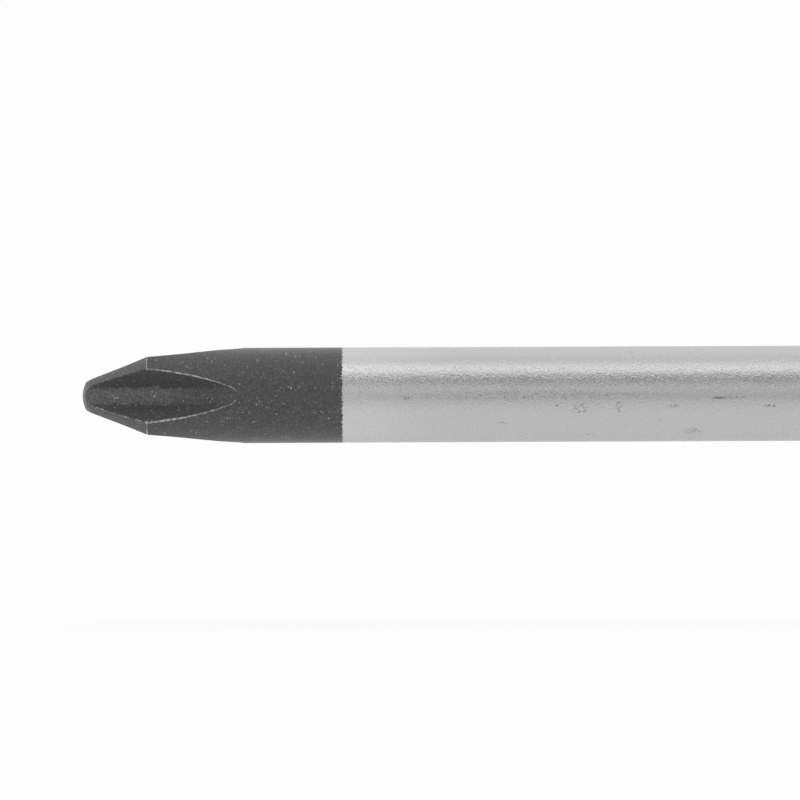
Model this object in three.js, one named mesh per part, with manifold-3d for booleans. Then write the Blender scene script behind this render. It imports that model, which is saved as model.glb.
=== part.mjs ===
// A cross-head screwdriver, size 2: a one-piece 6 mm steel blade moulded into a hexagonal handle.
// Units are millimetres and +Z is up. The tool lies level on one flat of its handle, tip towards -X.
// Inside the tool group, x runs along the axis from 0 at the tip to the overall length at the butt.
import * as THREE from "three";
import { mergeVertices } from "three/addons/utils/BufferGeometryUtils.js";
import Module from "manifold-3d";

const wasm = await Module();
wasm.setup();
const { degToRad } = THREE.MathUtils;

// Blade
const BLADE_DIAMETER = 6;
const BLADE_LENGTH = 100; // from the tip to the nose of the handle
const TANG_CHAMFER = 0.8;
const EAR_SPAN = 10.4; // across a swaged pair of ears on the tang
const EAR_THICKNESS = 2.4;
const EAR_LENGTH = 7;
const EAR_LEAD = 2; // sloped length at each end of an ear
const EAR_PITCH = 11; // between the two pairs, which stand at right angles
const EAR_SETBACK = 8; // from the end of the tang to the middle of the rear pair

// Cross tip
const TIP_END_DIAMETER = 2.29; // over the wings at the blunt end
const TIP_DOME_HEIGHT = 0.38;
const TIP_HALF_ANGLE = degToRad(26.5);
const FLUTE_COUNT = 4;
const FLUTE_CORE = 1.98; // between opposite flute floors, at their closest
const FLUTE_FLOOR_WIDTH = 1.06;
const FLUTE_FLOOR_CROWN = 0.12; // the middle of a floor is this much deeper than its sides
const FLUTE_FLANK_ANGLE = degToRad(94); // between the two flanks of a flute
const FLUTE_ARC_RADIUS = 20.8; // lengthwise, each floor is an arc that runs out at the blade surface
const FLUTE_ARC_SETBACK = 0.63; // from the tip to where that arc is parallel to the axis

// Handle, in order from the nose to the butt
const NOSE_DIAMETER = 13;
const NOSE_ROUND = 1.6;
const NOSE_LENGTH = 9;
const FLANGE_LENGTH = 3.5;
const FLANGE_BACK_LENGTH = 4.5;
const FINGER_GRIP_LENGTH = 20;
const SHOULDER_LENGTH = 11;
const BELLY_LENGTH = 36;
const CAP_LENGTH = 21;

// Handle sections
const HANDLE_FLATS = 29; // across the flats
const CORNER_RISE = 1.7; // the turned corners of belly and flange stand this far outside the flats
const BARREL_RISE = 0.4; // extra swell of the corners halfway along the belly
const WAIST_DIAMETER = 21.6; // at the narrowest place of the finger grip
const WAIST_FRONT_DIAMETER = 23.6;
const WAIST_REAR_DIAMETER = 25;
const MOULD_GAP = 0.2; // joint line between moulded pieces, and round the steel

// Finger grip
const GRIP_WALL = 2.2; // rubber left under the grooves
const GRIP_GROOVE_DEPTH = 0.6;
const GRIP_GROOVE_PITCH = 2.8;
const GRIP_LAND = 2.2; // plain band at each end

// Inner core on the tang
const CORE_FRONT_WALL = 4; // from the start of the shoulder to the front of the core
const CORE_END_WALL = 3.6; // plastic behind the end of the tang
const CORE_WALL = 2.8; // plastic outside the ears
const CORE_KEY_COUNT = 6;
const CORE_KEY_HEIGHT = 0.9;
const CORE_KEY_ANGLE = degToRad(16);

// Palm pads, one on each flat
const PAD_COUNT = 6;
const PAD_SIDE_MARGIN = 2.2; // hard rim beside a pad, on the flat
const PAD_END_MARGIN = 2.4;
const PAD_THICKNESS = 2.2;
const PAD_EDGE = 0.35; // bevel round the top of a pad
const PAD_GROOVE_DEPTH = 0.5;
const PAD_GROOVE_WIDTH = 1.3;
const PAD_GROOVE_PITCH = 2.6;

// End cap with its hanging hole and marker
const SPIGOT_LENGTH = 6;
const SOCKET_WALL = 1.2; // between the spigot's socket and the floor of a pad pocket
const SNAP_BEAD = 0.35;
const SNAP_BEAD_WIDTH = 1.6;
const CAP_JOINT_CHAMFER = 0.5;
const BUTT_DIAMETER = 18;
const HANG_HOLE_DIAMETER = 7;
const HANG_HOLE_SETBACK = 11; // from the butt to the middle of the hole
const HANG_HOLE_FLARE = 1.2;
const MARKER_DIAMETER = 13;
const MARKER_THICKNESS = 1.6;
const MARKER_CROSS_SPAN = 8;
const MARKER_CROSS_WIDTH = 1.9;
const MARKER_CROSS_DEPTH = 0.5;

// Facets
const BLADE_SIDES = 48;
const HANDLE_SIDES = 48;
const CURVE_STEPS = 5;
const GROOVE_STEPS = 3;
const FLUTE_STEP = 0.6; // length of one facet along a flute floor
const FLUTE_FLOOR_STEPS = 4;
const WELD = 1e-4;
const OVERCUT = 1; // a cutter stands this far outside what it cuts

// Stations along the axis
const noseX = BLADE_LENGTH;
const flangeX = noseX + NOSE_LENGTH;
const flangeBackX = flangeX + FLANGE_LENGTH;
const gripX = flangeBackX + FLANGE_BACK_LENGTH;
const shoulderX = gripX + FINGER_GRIP_LENGTH;
const bellyX = shoulderX + SHOULDER_LENGTH;
const capX = bellyX + BELLY_LENGTH;
const buttX = capX + CAP_LENGTH;
const spigotX = capX - SPIGOT_LENGTH;
const coreX = shoulderX + CORE_FRONT_WALL;
const coreEndX = spigotX - MOULD_GAP;
const tangEndX = coreEndX - CORE_END_WALL;
const hangHoleX = buttX - HANG_HOLE_SETBACK;

// Radii that follow from the sizes above
const bladeRadius = BLADE_DIAMETER / 2;
const flatRadius = HANDLE_FLATS / 2;
const bellyRadius = flatRadius + CORNER_RISE;
const gripSeatRadius = WAIST_DIAMETER / 2 - GRIP_GROOVE_DEPTH - GRIP_WALL - MOULD_GAP;
const coreRadius = EAR_SPAN / 2 + MOULD_GAP + CORE_WALL;
const flatHalfWidth = Math.sqrt(bellyRadius ** 2 - flatRadius ** 2);
const padWidth = 2 * (flatHalfWidth - PAD_SIDE_MARGIN);
const padLength = BELLY_LENGTH - 2 * PAD_END_MARGIN;
const padMiddleX = bellyX + BELLY_LENGTH / 2;
const padFloorRadius = flatRadius - PAD_THICKNESS;
const socketRadius = padFloorRadius - MOULD_GAP - SOCKET_WALL - SNAP_BEAD;
const spigotRadius = socketRadius - MOULD_GAP;

// A three.js geometry as a closed solid that can be joined and cut.
function solidOf(geometry) {
  const bare = new THREE.BufferGeometry();
  bare.setAttribute("position", geometry.attributes.position.clone());
  bare.setIndex(geometry.index);
  const welded = mergeVertices(bare, WELD);
  const corners = [...welded.index.array];
  const triangles = [];
  for (let i = 0; i < corners.length; i += 3) {
    const [a, b, c] = corners.slice(i, i + 3);
    if (a !== b && b !== c && c !== a) triangles.push(a, b, c);
  }
  const mesh = new wasm.Mesh({
    numProp: 3,
    vertProperties: welded.attributes.position.array,
    triVerts: new Uint32Array(triangles),
  });
  return new wasm.Manifold(mesh);
}

// A solid as a flat-shaded three.js geometry.
function geometryOf(solid) {
  const { vertProperties, triVerts } = solid.getMesh();
  const geometry = new THREE.BufferGeometry();
  geometry.setAttribute("position", new THREE.BufferAttribute(vertProperties, 3));
  geometry.setIndex(new THREE.BufferAttribute(triVerts, 1));
  const faceted = geometry.toNonIndexed();
  faceted.computeVertexNormals();
  return faceted;
}

// A profile of (radius, x) points turned about the tool's axis.
function turned(points, sides) {
  return solidOf(new THREE.LatheGeometry(points, sides).rotateZ(-Math.PI / 2));
}

// A (y, z) section pushed along the axis from startX to endX.
function pushed(section, startX, endX) {
  const geometry = new THREE.ExtrudeGeometry(section, {
    depth: endX - startX,
    bevelEnabled: false,
    curveSegments: CURVE_STEPS,
  });
  const yzAlongX = new THREE.Matrix4().makeBasis(
    new THREE.Vector3(0, 1, 0),
    new THREE.Vector3(0, 0, 1),
    new THREE.Vector3(1, 0, 0),
  );
  return solidOf(geometry.applyMatrix4(yzAlongX).translate(startX, 0, 0));
}

// Turns a solid about the tool's axis, in degrees.
function rolled(solid, angle) {
  return solid.rotate([angle, 0, 0]);
}

// A plain round bar on the axis.
function bar(radius, startX, endX, sides) {
  const end = new THREE.Path().moveTo(0, startX).lineTo(radius, startX).lineTo(radius, endX).lineTo(0, endX);
  return turned(end.getPoints(), sides);
}

// The hexagonal stock of the handle, with flats above and below.
function hexagonalStock(startX, endX) {
  const cornerRadius = flatRadius / Math.cos(Math.PI / PAD_COUNT);
  const stock = new THREE.CylinderGeometry(cornerRadius, cornerRadius, endX - startX, PAD_COUNT);
  stock.rotateZ(-Math.PI / 2).rotateX(Math.PI / 2).translate((startX + endX) / 2, 0, 0);
  return solidOf(stock);
}

// The blunt dome and the cone of the tip, then the round blade and its tang.
function bladeProfile() {
  const endRadius = TIP_END_DIAMETER / 2;
  const domeRadius = (endRadius ** 2 + TIP_DOME_HEIGHT ** 2) / (2 * TIP_DOME_HEIGHT);
  const domeAngle = Math.asin(endRadius / domeRadius);
  const coneX = TIP_DOME_HEIGHT + (bladeRadius - endRadius) / Math.tan(TIP_HALF_ANGLE);
  const profile = new THREE.Path();
  profile.absarc(0, domeRadius, domeRadius, -Math.PI / 2, domeAngle - Math.PI / 2);
  profile.lineTo(bladeRadius, coneX);
  profile.lineTo(bladeRadius, tangEndX - TANG_CHAMFER);
  profile.lineTo(bladeRadius - TANG_CHAMFER, tangEndX);
  profile.lineTo(0, tangEndX);
  return profile.getPoints(CURVE_STEPS);
}

// A roller whose rim has the section of one flute; it stands beside the blade, on the -Y side.
function fluteRoller() {
  const halfFloor = FLUTE_FLOOR_WIDTH / 2;
  const flankDepth = bladeRadius + OVERCUT - FLUTE_CORE / 2;
  const sideRadius = FLUTE_ARC_RADIUS - flankDepth;
  const halfWidth = halfFloor + flankDepth * Math.tan(FLUTE_FLANK_ANGLE / 2);
  const rim = new THREE.Path().moveTo(0, -halfWidth).lineTo(sideRadius, -halfWidth);
  rim.lineTo(FLUTE_ARC_RADIUS, -halfFloor);
  rim.quadraticCurveTo(FLUTE_ARC_RADIUS + 2 * FLUTE_FLOOR_CROWN, 0, FLUTE_ARC_RADIUS, halfFloor);
  rim.lineTo(sideRadius, halfWidth).lineTo(0, halfWidth);
  const sides = Math.ceil((2 * Math.PI * FLUTE_ARC_RADIUS) / FLUTE_STEP);
  const roller = new THREE.LatheGeometry(rim.getPoints(FLUTE_FLOOR_STEPS), sides);
  roller.rotateX(Math.PI / 2);
  return solidOf(roller.translate(FLUTE_ARC_SETBACK, -FLUTE_CORE / 2 - FLUTE_ARC_RADIUS, 0));
}

// The two pairs of flat ears swaged on the tang, grown on every side by a clearance.
function tangEars(clearance) {
  const halfSpan = EAR_SPAN / 2 + clearance;
  const halfLength = EAR_LENGTH / 2 + clearance;
  const halfCrest = halfLength - EAR_LEAD;
  const outline = new THREE.Shape().moveTo(-halfLength, 0).lineTo(-halfCrest, halfSpan);
  outline.lineTo(halfCrest, halfSpan).lineTo(halfLength, 0);
  outline.lineTo(halfCrest, -halfSpan).lineTo(-halfCrest, -halfSpan).closePath();
  const thickness = EAR_THICKNESS + 2 * clearance;
  const plate = new THREE.ExtrudeGeometry(outline, { depth: thickness, bevelEnabled: false });
  plate.translate(tangEndX - EAR_SETBACK, 0, -thickness / 2);
  const rearPair = solidOf(plate);
  const frontPair = rolled(rearPair, 90).translate([-EAR_PITCH, 0, 0]);
  return rearPair.add(frontPair);
}

// One steel bar: cross tip, round blade, and the tang with its ears.
function blade() {
  const roller = fluteRoller();
  let steel = turned(bladeProfile(), BLADE_SIDES).add(tangEars(0));
  for (let i = 0; i < FLUTE_COUNT; i++) {
    steel = steel.subtract(rolled(roller, (i * 360) / FLUTE_COUNT));
  }
  return steel;
}

// The keyed section of the inner core, grown on every side by a clearance.
function coreSection(clearance) {
  const root = coreRadius + clearance;
  const crest = root + CORE_KEY_HEIGHT;
  const halfKey = CORE_KEY_ANGLE / 2 + clearance / root;
  const pitch = (2 * Math.PI) / CORE_KEY_COUNT;
  const section = new THREE.Shape();
  for (let i = 0; i < CORE_KEY_COUNT; i++) {
    const middle = i * pitch;
    section.absarc(0, 0, crest, middle - halfKey, middle + halfKey);
    section.absarc(0, 0, root, middle + halfKey, middle + pitch - halfKey);
  }
  return section.closePath();
}

// The hard first shot, moulded straight on the tang.
function innerCore() {
  const cavity = bar(bladeRadius + MOULD_GAP, coreX - OVERCUT, tangEndX + MOULD_GAP, BLADE_SIDES);
  return pushed(coreSection(0), coreX, coreEndX).subtract(cavity).subtract(tangEars(MOULD_GAP));
}

// The curve of the waist, as (radius, x), over the ribs of the finger grip.
function waistCurve() {
  const middleX = (gripX + shoulderX) / 2;
  const controlRadius = WAIST_DIAMETER - (WAIST_FRONT_DIAMETER + WAIST_REAR_DIAMETER) / 4;
  return new THREE.QuadraticBezierCurve(
    new THREE.Vector2(WAIST_FRONT_DIAMETER / 2, gripX),
    new THREE.Vector2(controlRadius, middleX),
    new THREE.Vector2(WAIST_REAR_DIAMETER / 2, shoulderX),
  );
}

// The outside of the hard body before its flats are cut, with the seat of the finger grip.
function bodyProfile() {
  const noseRadius = NOSE_DIAMETER / 2;
  const profile = new THREE.Path().moveTo(0, noseX).lineTo(noseRadius - NOSE_ROUND, noseX);
  profile.quadraticCurveTo(noseRadius, noseX, noseRadius, noseX + NOSE_ROUND);
  profile.quadraticCurveTo(noseRadius, flangeX - NOSE_ROUND, bellyRadius, flangeX);
  profile.lineTo(bellyRadius, flangeBackX);
  const backControlX = (flangeBackX + gripX) / 2;
  profile.quadraticCurveTo(WAIST_FRONT_DIAMETER / 2, backControlX, WAIST_FRONT_DIAMETER / 2, gripX);
  profile.lineTo(gripSeatRadius, gripX).lineTo(gripSeatRadius, shoulderX);
  profile.lineTo(WAIST_REAR_DIAMETER / 2, shoulderX);
  const shoulderControlX = (shoulderX + bellyX) / 2;
  profile.bezierCurveTo(
    WAIST_REAR_DIAMETER / 2 + CORNER_RISE,
    shoulderControlX,
    bellyRadius,
    shoulderControlX,
    bellyRadius,
    bellyX,
  );
  profile.quadraticCurveTo(bellyRadius + 2 * BARREL_RISE, padMiddleX, bellyRadius, capX - CAP_JOINT_CHAMFER);
  profile.lineTo(bellyRadius - CAP_JOINT_CHAMFER, capX).lineTo(0, capX);
  return profile.getPoints(CURVE_STEPS);
}

// The end cap's spigot with its snap bead, grown on every side by a clearance, from its front face to endX.
function spigotProfile(clearance, endX) {
  const radius = spigotRadius + clearance;
  const beadX = spigotX + SPIGOT_LENGTH / 2;
  const halfBead = SNAP_BEAD_WIDTH / 2 + clearance;
  const profile = new THREE.Path().moveTo(0, spigotX - clearance).lineTo(radius, spigotX - clearance);
  profile.lineTo(radius, beadX - halfBead).lineTo(radius + SNAP_BEAD, beadX);
  profile.lineTo(radius, beadX + halfBead).lineTo(radius, endX);
  return profile;
}

// A pad's outline with round ends, grown all round by a clearance and pushed out from floorRadius to topRadius.
function padBlank(clearance, floorRadius, topRadius, edge) {
  const endRadius = padWidth / 2 + clearance - edge;
  const reach = (padLength - padWidth) / 2;
  const outline = new THREE.Shape();
  outline.absarc(reach, 0, endRadius, -Math.PI / 2, Math.PI / 2);
  outline.absarc(-reach, 0, endRadius, Math.PI / 2, (3 * Math.PI) / 2);
  const blank = new THREE.ExtrudeGeometry(outline.closePath(), {
    depth: topRadius - floorRadius - 2 * edge,
    bevelEnabled: edge > 0,
    bevelSize: edge,
    bevelThickness: edge,
    bevelSegments: 1,
    curveSegments: CURVE_STEPS,
  });
  return solidOf(blank.translate(padMiddleX, 0, floorRadius + edge));
}

// The lengthwise section of a pad: a flat top crossed by scalloped grooves, in the straight part of the pad.
function padRibs() {
  const straight = padLength - padWidth;
  const count = Math.max(1, Math.floor(straight / PAD_GROOVE_PITCH));
  const halfLength = padLength / 2 + OVERCUT;
  const section = new THREE.Shape().moveTo(-halfLength, padFloorRadius - OVERCUT);
  section.lineTo(halfLength, padFloorRadius - OVERCUT).lineTo(halfLength, flatRadius);
  for (let i = count - 1; i >= 0; i--) {
    const middle = (i - (count - 1) / 2) * PAD_GROOVE_PITCH;
    const controlHeight = flatRadius - 2 * PAD_GROOVE_DEPTH;
    section.lineTo(middle + PAD_GROOVE_WIDTH / 2, flatRadius);
    section.quadraticCurveTo(middle, controlHeight, middle - PAD_GROOVE_WIDTH / 2, flatRadius);
  }
  section.lineTo(-halfLength, flatRadius).closePath();
  const ribs = new THREE.ExtrudeGeometry(section, {
    depth: padWidth + 2 * OVERCUT,
    bevelEnabled: false,
    curveSegments: GROOVE_STEPS,
  });
  ribs.rotateX(Math.PI / 2).translate(padMiddleX, padWidth / 2 + OVERCUT, 0);
  return solidOf(ribs);
}

// One soft pad, on the upper flat.
function palmPad() {
  return padBlank(0, padFloorRadius, flatRadius, PAD_EDGE).intersect(padRibs());
}

// The hard second shot: nose, flange, finger grip seat, and hexagonal belly with a pocket on each flat.
function handleBody() {
  const outside = turned(bodyProfile(), HANDLE_SIDES).intersect(hexagonalStock(noseX - OVERCUT, capX + OVERCUT));
  const bladeBore = bar(bladeRadius + MOULD_GAP, noseX - OVERCUT, coreX, BLADE_SIDES);
  const coreCavity = pushed(coreSection(MOULD_GAP), coreX - MOULD_GAP, spigotX);
  const socketEndX = capX + OVERCUT;
  const socket = turned(spigotProfile(MOULD_GAP, socketEndX).lineTo(0, socketEndX).getPoints(), HANDLE_SIDES);
  const pocket = padBlank(MOULD_GAP, padFloorRadius - MOULD_GAP, flatRadius + OVERCUT, 0);
  let body = outside.subtract(bladeBore).subtract(coreCavity).subtract(socket);
  for (let i = 0; i < PAD_COUNT; i++) {
    body = body.subtract(rolled(pocket, (i * 360) / PAD_COUNT));
  }
  return body;
}

// The soft ring round the waist, with grooves for the fingers.
function fingerGrip() {
  const curve = waistCurve();
  const startX = gripX + MOULD_GAP;
  const endX = shoulderX - MOULD_GAP;
  const innerRadius = gripSeatRadius + MOULD_GAP;
  const grooved = FINGER_GRIP_LENGTH - 2 * GRIP_LAND;
  const count = Math.max(1, Math.round(grooved / GRIP_GROOVE_PITCH));
  const outer = [startX, gripX + GRIP_LAND];
  for (let i = 0; i < count; i++) {
    const groove = gripX + GRIP_LAND + (i + 0.5) * (grooved / count);
    outer.push(groove - GRIP_GROOVE_PITCH / 4, groove, groove + GRIP_GROOVE_PITCH / 4);
  }
  outer.push(shoulderX - GRIP_LAND, endX);
  const points = [new THREE.Vector2(innerRadius, endX), new THREE.Vector2(innerRadius, startX)];
  outer.forEach((x, i) => {
    const isGroove = i >= 2 && i < outer.length - 2 && (i - 2) % 3 === 1;
    const radius = curve.getPoint((x - gripX) / FINGER_GRIP_LENGTH).x;
    points.push(new THREE.Vector2(isGroove ? radius - GRIP_GROOVE_DEPTH : radius, x));
  });
  points.push(points[0]);
  return turned(points, HANDLE_SIDES);
}

// A flared round hole through the end cap, from the upper flat to the lower one.
function hangHole() {
  const radius = HANG_HOLE_DIAMETER / 2;
  const mouth = flatRadius - HANG_HOLE_FLARE;
  const outerRadius = radius + HANG_HOLE_FLARE + OVERCUT;
  const outerHeight = flatRadius + OVERCUT;
  const profile = new THREE.Path().moveTo(0, -outerHeight).lineTo(outerRadius, -outerHeight);
  profile.lineTo(radius, -mouth).lineTo(radius, mouth).lineTo(outerRadius, outerHeight).lineTo(0, outerHeight);
  const hole = new THREE.LatheGeometry(profile.getPoints(), BLADE_SIDES / 2);
  return solidOf(hole.rotateX(Math.PI / 2).translate(hangHoleX, 0, 0));
}

// The hard cap that closes the rear of the body, with a round butt and a seat for the marker.
function endCap() {
  const buttRadius = BUTT_DIAMETER / 2;
  const seatRadius = MARKER_DIAMETER / 2 + MOULD_GAP;
  const seatX = buttX - MARKER_THICKNESS - MOULD_GAP;
  const frontX = capX + MOULD_GAP;
  const profile = spigotProfile(0, frontX);
  profile.lineTo(bellyRadius - CAP_JOINT_CHAMFER, frontX);
  profile.lineTo(bellyRadius, frontX + CAP_JOINT_CHAMFER);
  profile.bezierCurveTo(bellyRadius, buttX - CAP_LENGTH / 4, bellyRadius - CORNER_RISE, buttX, buttRadius, buttX);
  profile.lineTo(seatRadius, buttX).lineTo(seatRadius, seatX).lineTo(0, seatX);
  const outside = turned(profile.getPoints(2 * CURVE_STEPS), HANDLE_SIDES);
  return outside.intersect(hexagonalStock(spigotX - OVERCUT, buttX + OVERCUT)).subtract(hangHole());
}

// The coloured disc in the butt, with a sunk cross that names the kind of tip.
function capMarker() {
  const disc = bar(MARKER_DIAMETER / 2, buttX - MARKER_THICKNESS, buttX, HANDLE_SIDES);
  const reach = MARKER_CROSS_SPAN / 2;
  const half = MARKER_CROSS_WIDTH / 2;
  const armOutline = new THREE.Shape().moveTo(-reach, -half).lineTo(reach, -half);
  armOutline.lineTo(reach, half).lineTo(-reach, half).closePath();
  const arm = pushed(armOutline, buttX - MARKER_CROSS_DEPTH, buttX + OVERCUT);
  return disc.subtract(arm.add(rolled(arm, 90)));
}

// Finishes
const satinSteel = { color: 0xb8b8b8, roughness: 0.38, metalness: 1 };
const naturalPlastic = { color: 0xd9d6cc, roughness: 0.6, metalness: 0 };
const blackPlastic = { color: 0x1d1e20, roughness: 0.45, metalness: 0 };
const greyRubber = { color: 0x4a4d50, roughness: 0.85, metalness: 0 };
const redPlastic = { color: 0x9e1b1e, roughness: 0.4, metalness: 0 };

// One named piece with a material of its own.
function piece(name, solid, finish) {
  const mesh = new THREE.Mesh(geometryOf(solid), new THREE.MeshStandardMaterial(finish));
  mesh.name = name;
  return mesh;
}

// The tool, with its axis raised so that the lower flat of the handle rests on z = 0.
const tool = new THREE.Group();
tool.position.set(-buttX / 2, 0, flatRadius);
tool.add(piece("blade", blade(), satinSteel));
tool.add(piece("inner_core", innerCore(), naturalPlastic));
tool.add(piece("handle_body", handleBody(), blackPlastic));
tool.add(piece("finger_grip", fingerGrip(), greyRubber));
const pad = palmPad();
for (let i = 0; i < PAD_COUNT; i++) {
  tool.add(piece(`palm_pad_${i + 1}`, rolled(pad, (i * 360) / PAD_COUNT), greyRubber));
}
tool.add(piece("end_cap", endCap(), blackPlastic));
tool.add(piece("cap_marker", capMarker(), redPlastic));

const screwdriver = new THREE.Group();
screwdriver.add(tool);

export default screwdriver;
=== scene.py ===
"""The looks of a cross-head screwdriver: a fluted black tip on a satin steel blade, in a hexagonal handle.

Shapes are worked out in millimetres along the tool, with x = 0 at the tip and the axis at y = z = 0. They are
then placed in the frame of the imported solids, in metres.
"""

import logging
import math
from collections.abc import Iterable
from dataclasses import dataclass, field
from enum import Enum

import bmesh
import bpy
from mathutils import Matrix, Vector
from mathutils.geometry import interpolate_bezier


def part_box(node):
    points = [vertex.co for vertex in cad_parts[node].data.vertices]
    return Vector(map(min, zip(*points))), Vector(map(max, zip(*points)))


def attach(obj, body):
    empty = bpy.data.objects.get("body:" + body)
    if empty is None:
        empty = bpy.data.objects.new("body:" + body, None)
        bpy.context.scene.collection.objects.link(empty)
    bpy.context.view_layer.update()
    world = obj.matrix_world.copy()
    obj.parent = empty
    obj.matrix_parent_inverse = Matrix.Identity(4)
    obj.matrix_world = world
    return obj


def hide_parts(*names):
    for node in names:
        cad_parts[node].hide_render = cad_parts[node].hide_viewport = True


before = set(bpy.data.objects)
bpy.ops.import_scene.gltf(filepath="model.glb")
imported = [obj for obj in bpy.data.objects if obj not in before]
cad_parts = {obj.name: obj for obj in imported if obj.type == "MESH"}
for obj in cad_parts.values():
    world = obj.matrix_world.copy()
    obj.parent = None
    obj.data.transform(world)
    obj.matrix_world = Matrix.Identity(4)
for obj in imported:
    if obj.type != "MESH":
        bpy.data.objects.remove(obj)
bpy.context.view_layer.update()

MM = 0.001
ROOT_BODY = "root"
QUARTER = math.pi / 2
WELD = 1e-5
SHARP_DEGREES = 40.0

log = logging.getLogger("screwdriver")

Socket = bpy.types.NodeSocket
Input = Socket | float | tuple[float, ...]


class Slot(Enum):
    """The record's material slots for the pieces that are made here."""

    BLADE = "blade_steel"
    HANDLE = "handle_plastic"
    GRIP = "grip_rubber"
    MARKER = "marker_plastic"


# Small tools for shapes


def smooth_least(a: float, b: float, blend: float) -> float:
    """The smaller of two lengths, with the corner between them rounded.

    Args:
        a: One length.
        b: The other length.
        blend: How close the two are where the rounding starts.

    Returns:
        The rounded minimum, at most a quarter of blend under the true one.
    """
    overlap = max(blend - abs(a - b), 0.0) / blend
    return min(a, b) - overlap * overlap * blend / 4


class Profile:
    """A pen path of (x, radius) points in millimetres, to be turned about the tool's axis."""

    def __init__(self, x: float, radius: float) -> None:
        """Starts the path at one point."""
        self.points = [Vector((x, radius))]
        self.roundings = {}

    def line(self, x: float, radius: float, rounding: float = 0.0) -> "Profile":
        """Draws a straight line.

        Args:
            x: Where the line ends along the axis.
            radius: Where it ends across the axis.
            rounding: Length cut from each side of the corner there to make it round.

        Returns:
            The same path.
        """
        self.points.append(Vector((x, radius)))
        if rounding:
            self.roundings[len(self.points) - 1] = rounding
        return self

    def curve(
        self,
        first: tuple[float, float],
        second: tuple[float, float],
        end: tuple[float, float],
        steps: int = 16,
        rounding: float = 0.0,
    ) -> "Profile":
        """Draws a Bezier curve.

        Args:
            first: The handle of the start.
            second: The handle of the end.
            end: The point that the curve ends on.
            steps: How many pieces the curve is made of.
            rounding: As for a line.

        Returns:
            The same path.
        """
        handles = [Vector((*p, 0.0)) for p in (self.points[-1], first, second, end)]
        for point in interpolate_bezier(*handles, steps + 1)[1:]:
            self.points.append(point.to_2d())
        if rounding:
            self.roundings[len(self.points) - 1] = rounding
        return self

    def swing(self, control: tuple[float, float], end: tuple[float, float], **options: float) -> "Profile":
        """Draws a curve with one handle for both ends, as a quadratic curve has.

        Args:
            control: The handle.
            end: The point that the curve ends on.
            options: Steps and rounding, as for a Bezier curve.

        Returns:
            The same path.
        """
        start, pull = self.points[-1], Vector(control)
        first, second = start.lerp(pull, 2 / 3), Vector(end).lerp(pull, 2 / 3)
        return self.curve(tuple(first), tuple(second), end, **options)

    def drawn(self, corner_steps: int = 4) -> list[Vector]:
        """The path's points with its marked corners made round.

        Args:
            corner_steps: How many pieces each round corner is made of.

        Returns:
            The points in order.
        """
        out = []
        for i, point in enumerate(self.points):
            if i not in self.roundings:
                out.append(point)
                continue
            reach = self.roundings[i]
            start = point + (self.points[i - 1] - point).normalized() * reach
            end = point + (self.points[(i + 1) % len(self.points)] - point).normalized() * reach
            for step in range(corner_steps + 1):
                t = step / corner_steps
                out.append(start.lerp(point, t).lerp(point.lerp(end, t), t))
        return out


def turned(points: Iterable[Vector], sides: int, closed: bool = False) -> bmesh.types.BMesh:
    """Spins a profile about the tool's axis.

    Args:
        points: The profile as (x, radius), in millimetres.
        sides: How many steps the full turn has.
        closed: True for a ring, whose profile comes back to its start.

    Returns:
        A closed mesh with its faces outwards.
    """
    bm = bmesh.new()
    chain = [bm.verts.new((x, 0.0, radius)) for x, radius in points]
    edges = [bm.edges.new(pair) for pair in zip(chain, chain[1:])]
    if closed:
        edges.append(bm.edges.new((chain[-1], chain[0])))
    bmesh.ops.spin(
        bm,
        geom=[*chain, *edges],
        cent=(0, 0, 0),
        axis=(1, 0, 0),
        angle=2 * math.pi,
        steps=sides,
        use_merge=True,
    )
    bmesh.ops.remove_doubles(bm, verts=bm.verts[:], dist=WELD)
    bmesh.ops.recalc_face_normals(bm, faces=bm.faces[:])
    return bm


@dataclass(frozen=True)
class Flats:
    """The hexagonal section of the handle, with flats above and below."""

    across: float
    count: int = 6
    softness: float = 1.1

    def cut(self, bm: bmesh.types.BMesh) -> None:
        """Brings every point that stands outside a flat in to it, with soft edges beside the flat.

        Args:
            bm: A mesh turned about the tool's axis, in millimetres.
        """
        pitch = 2 * math.pi / self.count
        for vert in bm.verts:
            radius = math.hypot(vert.co.y, vert.co.z)
            if radius < self.across / 2 - self.softness:
                continue
            angle = math.atan2(vert.co.y, vert.co.z)
            from_flat = angle - pitch * round(angle / pitch)
            limit = self.across / 2 / math.cos(from_flat)
            scale = smooth_least(radius, limit, self.softness) / radius
            vert.co.y *= scale
            vert.co.z *= scale


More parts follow.
